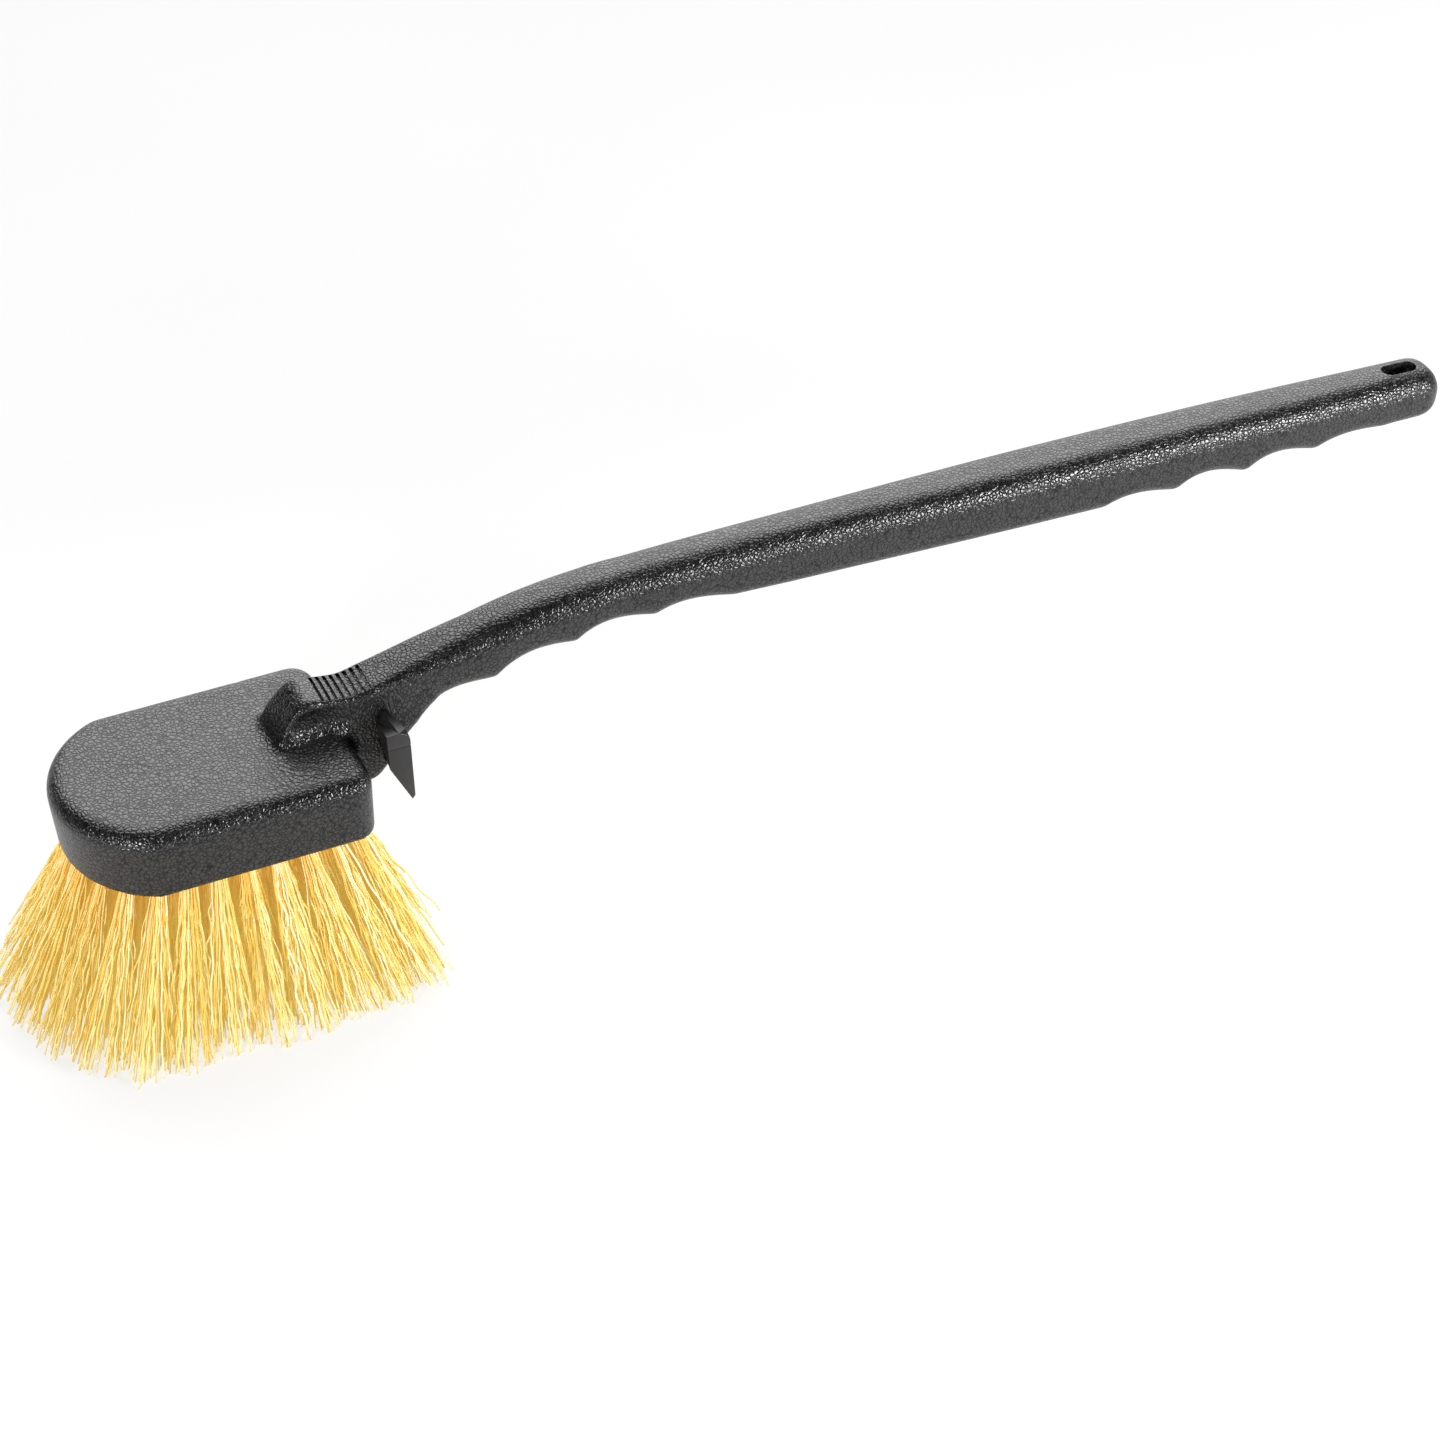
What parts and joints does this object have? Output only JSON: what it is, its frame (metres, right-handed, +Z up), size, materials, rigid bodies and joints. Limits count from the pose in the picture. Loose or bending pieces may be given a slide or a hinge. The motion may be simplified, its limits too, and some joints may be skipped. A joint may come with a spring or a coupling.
{
  "type": "wheel brush",
  "caption": "Long-handled wheel and fender brush: a rounded block of flared yellow bristle tufts, a ribbed neck with a side scraper, finger grips and a hanging slot.",
  "frame": {"origin": "centre of the bounding box in plan, on the plane of the bristle tips", "axes": "+X from the nose of the block to the end of the handle, +Z up from the bristle tips to the block, +Y across, on the side away from the scraper"},
  "size_m": [0.5253, 0.1012, 0.1121],
  "materials": {
    "black_plastic": "pebbled grain",
    "scraper_plastic": "smooth satin",
    "yellow_bristle": "crimped filament"
  },
  "bodies": {
    "root": {"block_and_handle": "black_plastic", "scraper": "scraper_plastic", "tuft_01": "yellow_bristle", "tuft_02": "yellow_bristle", "tuft_03": "yellow_bristle", "tuft_04": "yellow_bristle", "tuft_05": "yellow_bristle", "tuft_06": "yellow_bristle", "tuft_07": "yellow_bristle", "tuft_08": "yellow_bristle", "tuft_09": "yellow_bristle", "tuft_10": "yellow_bristle", "tuft_11": "yellow_bristle", "tuft_12": "yellow_bristle", "tuft_13": "yellow_bristle", "tuft_14": "yellow_bristle", "tuft_15": "yellow_bristle", "tuft_16": "yellow_bristle", "tuft_17": "yellow_bristle", "tuft_18": "yellow_bristle", "tuft_19": "yellow_bristle", "tuft_20": "yellow_bristle", "tuft_21": "yellow_bristle", "tuft_22": "yellow_bristle", "tuft_23": "yellow_bristle", "tuft_24": "yellow_bristle", "tuft_25": "yellow_bristle", "tuft_26": "yellow_bristle", "tuft_27": "yellow_bristle", "tuft_28": "yellow_bristle", "tuft_29": "yellow_bristle", "tuft_30": "yellow_bristle", "tuft_31": "yellow_bristle", "tuft_32": "yellow_bristle", "tuft_33": "yellow_bristle", "tuft_34": "yellow_bristle", "tuft_35": "yellow_bristle", "tuft_36": "yellow_bristle", "tuft_37": "yellow_bristle", "tuft_38": "yellow_bristle", "tuft_39": "yellow_bristle", "tuft_40": "yellow_bristle", "tuft_41": "yellow_bristle", "tuft_42": "yellow_bristle", "tuft_43": "yellow_bristle", "tuft_44": "yellow_bristle", "tuft_45": "yellow_bristle", "tuft_46": "yellow_bristle", "tuft_47": "yellow_bristle", "tuft_48": "yellow_bristle", "tuft_49": "yellow_bristle", "tuft_50": "yellow_bristle", "tuft_51": "yellow_bristle", "tuft_52": "yellow_bristle", "tuft_53": "yellow_bristle", "tuft_54": "yellow_bristle", "tuft_55": "yellow_bristle", "tuft_56": "yellow_bristle"}
  },
  "joints": []
}
